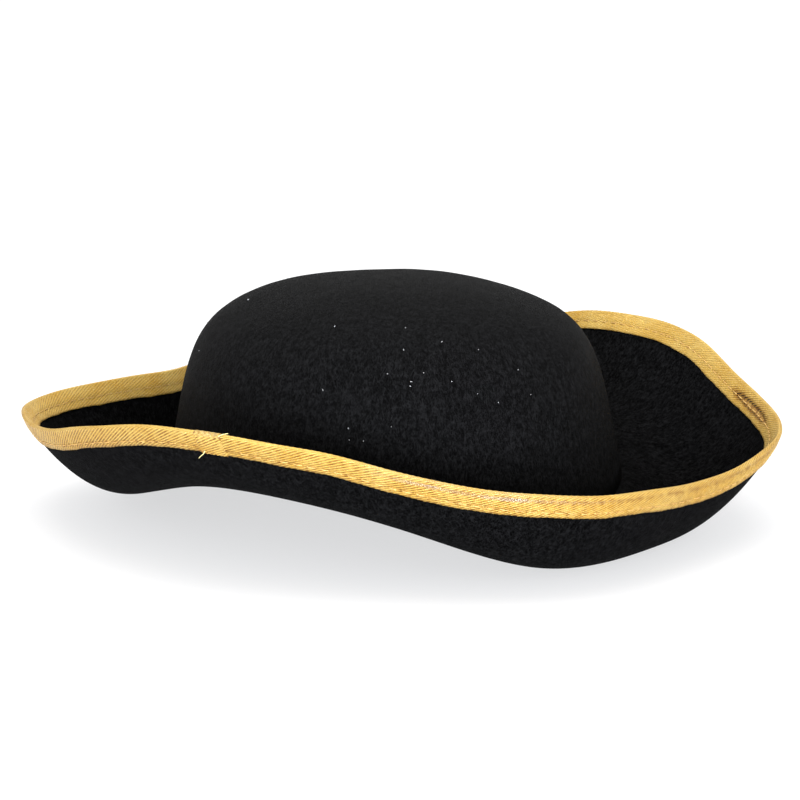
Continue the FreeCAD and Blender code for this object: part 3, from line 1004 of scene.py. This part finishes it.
def make_band_stitches(material):
    depth = BAND_OFFSET + BAND
    angles, run = even_places(lambda a: above_seam(a, depth, BAND_STITCH_UP), STITCH_PITCH)
    lines = []
    for angle in angles:
        share = np.linspace(0, 1, STITCH_POINTS)
        turn = angle + run * share
        middle = above_seam(turn, depth, BAND_STITCH_UP)[STITCH_POINTS // 2]
        if abs(middle[0]) < BAND_GAP + BAND_STITCHES_END and middle[1] > 0:
            continue
        lines.append(above_seam(turn, depth + stitch_rise(share), BAND_STITCH_UP))
    piece = tubes("sweatband_stitches", lines, THREAD / 2, sides=6)
    dress(piece, material, "black_thread", HAT, "sweatband_stitches")


# ---- care label -------------------------------------------------------------------------

LABEL_STEPS = 33
LABEL_EDGE = 0.04           # how far each face is set in from the label's full thickness
LEAF_BULGE = 0.9
LEAF_CORNER = 2.0
HEADER_CORNER = 0.01

def label_sheet(name, low, high, bulge, corner):
    """Piece of ribbon between two heights, as a thin closed sheet with rounded low corners."""
    face = label_face_y()
    columns = rows = LABEL_STEPS
    across = np.linspace(-1, 1, columns)
    up = np.linspace(0, 1, rows)
    sheets = []
    for side in (0, 1):
        grid = np.empty((rows, columns, 3))
        for r, u in enumerate(up):
            z = low + (high - low) * u
            inset = 0.0
            if z - low < corner:
                inset = corner - math.sqrt(corner ** 2 - (corner - (z - low)) ** 2)
            grid[r, :, 0] = across * (LABEL_WIDTH / 2 - inset)
            sway = bulge * (1 - u) ** 2 * (0.6 + 0.4 * across ** 2)
            depth = LABEL_EDGE + side * (LABEL_THICKNESS - 2 * LABEL_EDGE)
            grid[r, :, 1] = face + depth - sway
            grid[r, :, 2] = z
        sheets.append(grid)
    points = np.concatenate([g.reshape(-1, 3) for g in sheets])
    count = rows * columns
    faces = grid_faces(rows, columns, False)
    faces += [f[::-1] for f in grid_faces(rows, columns, False, first=count)]
    rim = ([c for c in range(columns)] + [r * columns + columns - 1 for r in range(1, rows)]
           + [count - 1 - c for c in range(1, columns)]
           + [r * columns for r in range(rows - 2, 0, -1)])
    for i, here in enumerate(rim):
        there = rim[(i + 1) % len(rim)]
        faces.append((there, here, count + here, count + there))
    uv = points[:, (0, 2)]
    return new_mesh(name, points, faces, uv)


def label_face_y():
    """How far back the label's visible face lies."""
    z = LABEL_HINGE_Z + LABEL_HEADER
    return wall_reach(np.array([math.pi]), BAND_OFFSET + BAND, z)[0] - LABEL_OFF_BAND


def make_label(material, thread):
    hinge = LABEL_HINGE_Z
    header = label_sheet("label_header", hinge, hinge + LABEL_HEADER, 0.0, HEADER_CORNER)
    dress(header, material, "white_satin", HAT, "care_label_header")
    low = hinge - HINGE_GAP - LABEL_LENGTH
    leaf = label_sheet("label_leaf", low, hinge - HINGE_GAP, LEAF_BULGE, LEAF_CORNER)
    dress(leaf, material, "white_satin", LABEL, "care_label_leaf")
    y = label_face_y()
    count = int((LABEL_WIDTH - 2) / STITCH_PITCH)
    first = -(count - 1) / 2 * STITCH_PITCH - STITCH_LENGTH / 2
    lines = []
    for i in range(count):
        start = np.array([first + i * STITCH_PITCH, y + 0.1, hinge + LABEL_HEADER / 2])
        lines.append(arc_between(start, start + (STITCH_LENGTH, 0, 0), (0, -0.3, 0)))
    piece = tubes("label_stitches", lines, THREAD / 2, sides=6)
    dress(piece, thread, "black_thread", HAT, "care_label_stitches")


# ---- lint -------------------------------------------------------------------------------

LINT_SEED = 7
LINT_ON_CROWN = 26
LINT_PATCH = (312, 16)      # middle and spread of the thickest part, in degrees
LINT_PATCH_HEIGHTS = (48, 90)
LINT_HEIGHTS = (35, 96)
LINT_SIZES = (0.12, 0.35)
LINT_BEND = 0.6
LINT_OFF_FELT = 0.55
LINT_THREAD = 0.13


def crown_surface(angle, height):
    """Point on the outside of the crown and its outward normal."""
    def at(a, z):
        return np.array([wall_length(z) * CROWN_HALF_WIDTH / CROWN_HALF_LENGTH * math.sin(a),
                         CROWN_BACK - wall_length(z) * math.cos(a), z])

    here = at(angle, height)
    along = at(angle + 0.01, height) - here
    up = at(angle, height + 0.1) - here
    return here, unit(np.cross(along, up))


def make_lint(material):
    """Specks of white fluff caught in the felt, thickest on the wearer's right of the crown."""
    draw = np.random.default_rng(LINT_SEED)
    lines = []
    for i in range(LINT_ON_CROWN):
        if i % 3:
            angle = math.radians(draw.normal(*LINT_PATCH))
            height = draw.uniform(*LINT_PATCH_HEIGHTS)
        else:
            angle = draw.uniform(0, TURN)
            height = draw.uniform(*LINT_HEIGHTS)
        here, normal = crown_surface(angle, height)
        side = unit(np.cross(normal, draw.normal(size=3)))
        other = np.cross(normal, side)
        size = draw.uniform(*LINT_SIZES)
        bend = draw.uniform(-LINT_BEND, LINT_BEND)
        steps = np.linspace(-1, 1, 5)
        base = here + normal * LINT_OFF_FELT
        lines.append([base + side * size * t + other * bend * size * t * t for t in steps])
    piece = tubes("lint", lines, LINT_THREAD, sides=5, taper=0.4)
    dress(piece, material, "felt", HAT)


# ---- dressing ---------------------------------------------------------------------------

def dress(piece, material, slot, body, *nodes):
    """Material, body and the CAD nodes that a piece stands for; slot, a finish slot, is not used.
    """
    piece.data.materials.append(material)
    if nodes:
        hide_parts(*nodes)
    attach(piece, body)


crown_cloth = felt_material("crown_felt_cloth", 0.032, top_from=0.080)
brim_cloth = felt_material("brim_felt_cloth", 0.005)
braid = braid_material("gold_braid")
gold_thread = thread_material("gold_thread", *GOLD_THREAD, metallic=0.2, roughness=0.45)
pale_thread = thread_material("frayed_yarn", *PALE_THREAD, metallic=0.0, roughness=0.5)
black_thread = thread_material("black_thread", *BLACK_THREAD, metallic=0.0, roughness=0.7)
fluff = thread_material("white_fluff", *WHITE_FLUFF, metallic=0.0, roughness=0.9)
grosgrain = ribbon_material("grosgrain", *BLACK_GROSGRAIN, rib_mm=1.1, roughness=0.6, sheen=0.1)
satin = ribbon_material("satin", *WHITE_SATIN, rib_mm=0.35, roughness=0.35, sheen=0.1)

make_crown(crown_cloth)
make_brim(brim_cloth)
make_binding(braid)
make_lap(braid)
make_binding_stitches(1, gold_thread)
make_binding_stitches(-1, gold_thread)
loose_threads(pale_thread)
make_band(grosgrain)
make_band_stitches(black_thread)
make_label(satin, black_thread)
make_lint(fluff)


# ---- stage ------------------------------------------------------------------------------

FLOOR_Z = -0.0006
FLOOR_HALF_SIZE = 6.0
LAMP_AIM = Vector((0, 0, 0.05))


def make_floor():
    size = FLOOR_HALF_SIZE
    mesh = bpy.data.meshes.new("floor")
    corners = [(-size, -size), (size, -size), (size, size), (-size, size)]
    mesh.from_pydata([(x, y, FLOOR_Z) for x, y in corners], [], [(0, 1, 2, 3)])
    floor = bpy.data.objects.new("floor", mesh)
    bpy.context.scene.collection.objects.link(floor)
    s = Shader("studio_floor")
    grain = s.noise(s.place(), 14.0, 3.0, 0.5)
    colour = s.mix(grain, (0.42, 0.42, 0.425, 1), (0.44, 0.44, 0.44, 1))
    mesh.materials.append(s.finish(Base_Color=colour, Roughness=0.9, Specular_IOR_Level=0.1,
                                   Emission_Color=(1.0, 1.0, 1.0, 1), Emission_Strength=0.58))


def add_area(name, spot, size, power, colour):
    lamp = bpy.data.lights.new(name, "AREA")
    lamp.shape = "RECTANGLE"
    lamp.size, lamp.size_y = size
    lamp.energy = power
    lamp.color = colour
    lamp_object = bpy.data.objects.new(name, lamp)
    bpy.context.scene.collection.objects.link(lamp_object)
    lamp_object.location = spot
    aim = LAMP_AIM - Vector(spot)
    lamp_object.rotation_euler = aim.to_track_quat("-Z", "Y").to_euler()


def seen_from(azimuth, elevation, distance):
    """Point at an azimuth (0 in front, at -Y) and elevation, in degrees, and a distance."""
    a = math.radians(azimuth)
    e = math.radians(elevation)
    return Vector((math.sin(a) * math.cos(e), -math.cos(a) * math.cos(e), math.sin(e))) * distance


VIEW_AZIMUTH = -51.0
VIEW_ELEVATION = 14.5
VIEW_DISTANCE = 1.3
VIEW_LENS = 135.4
VIEW_AIM = Vector((-0.0011, 0.0013, 0.0464))    # from the middle of the hat's foot
FLASH_ELEVATION = 7
FLASH_DISTANCE = 1.35


def make_camera():
    camera = bpy.data.cameras.new("camera")
    camera.sensor_width = 36.0
    camera.lens = VIEW_LENS
    view = bpy.data.objects.new("camera", camera)
    bpy.context.scene.collection.objects.link(view)
    target = Vector((0, CENTRE_Y * MM, 0))
    view.location = target + seen_from(VIEW_AZIMUTH, VIEW_ELEVATION, VIEW_DISTANCE)
    aim = target + VIEW_AIM - view.location
    view.rotation_euler = aim.to_track_quat("-Z", "Y").to_euler()
    bpy.context.scene.camera = view


def make_world():
    world = bpy.data.worlds.new("studio")
    world.use_nodes = True
    background = world.node_tree.nodes["Background"]
    background.inputs["Color"].default_value = (1.0, 1.0, 1.0, 1)
    background.inputs["Strength"].default_value = 1.0
    bpy.context.scene.world = world


make_floor()
make_world()
flash_spot = seen_from(VIEW_AZIMUTH, FLASH_ELEVATION, FLASH_DISTANCE)
add_area("flash", flash_spot, size=(0.45, 0.30), power=32.0, colour=(0.86, 0.91, 1.0))
add_area("top", (0.1, 0.1, 1.7), size=(1.6, 1.6), power=18.0, colour=(1.0, 1.0, 1.0))
make_camera()
bpy.context.scene.view_settings.view_transform = "Standard"
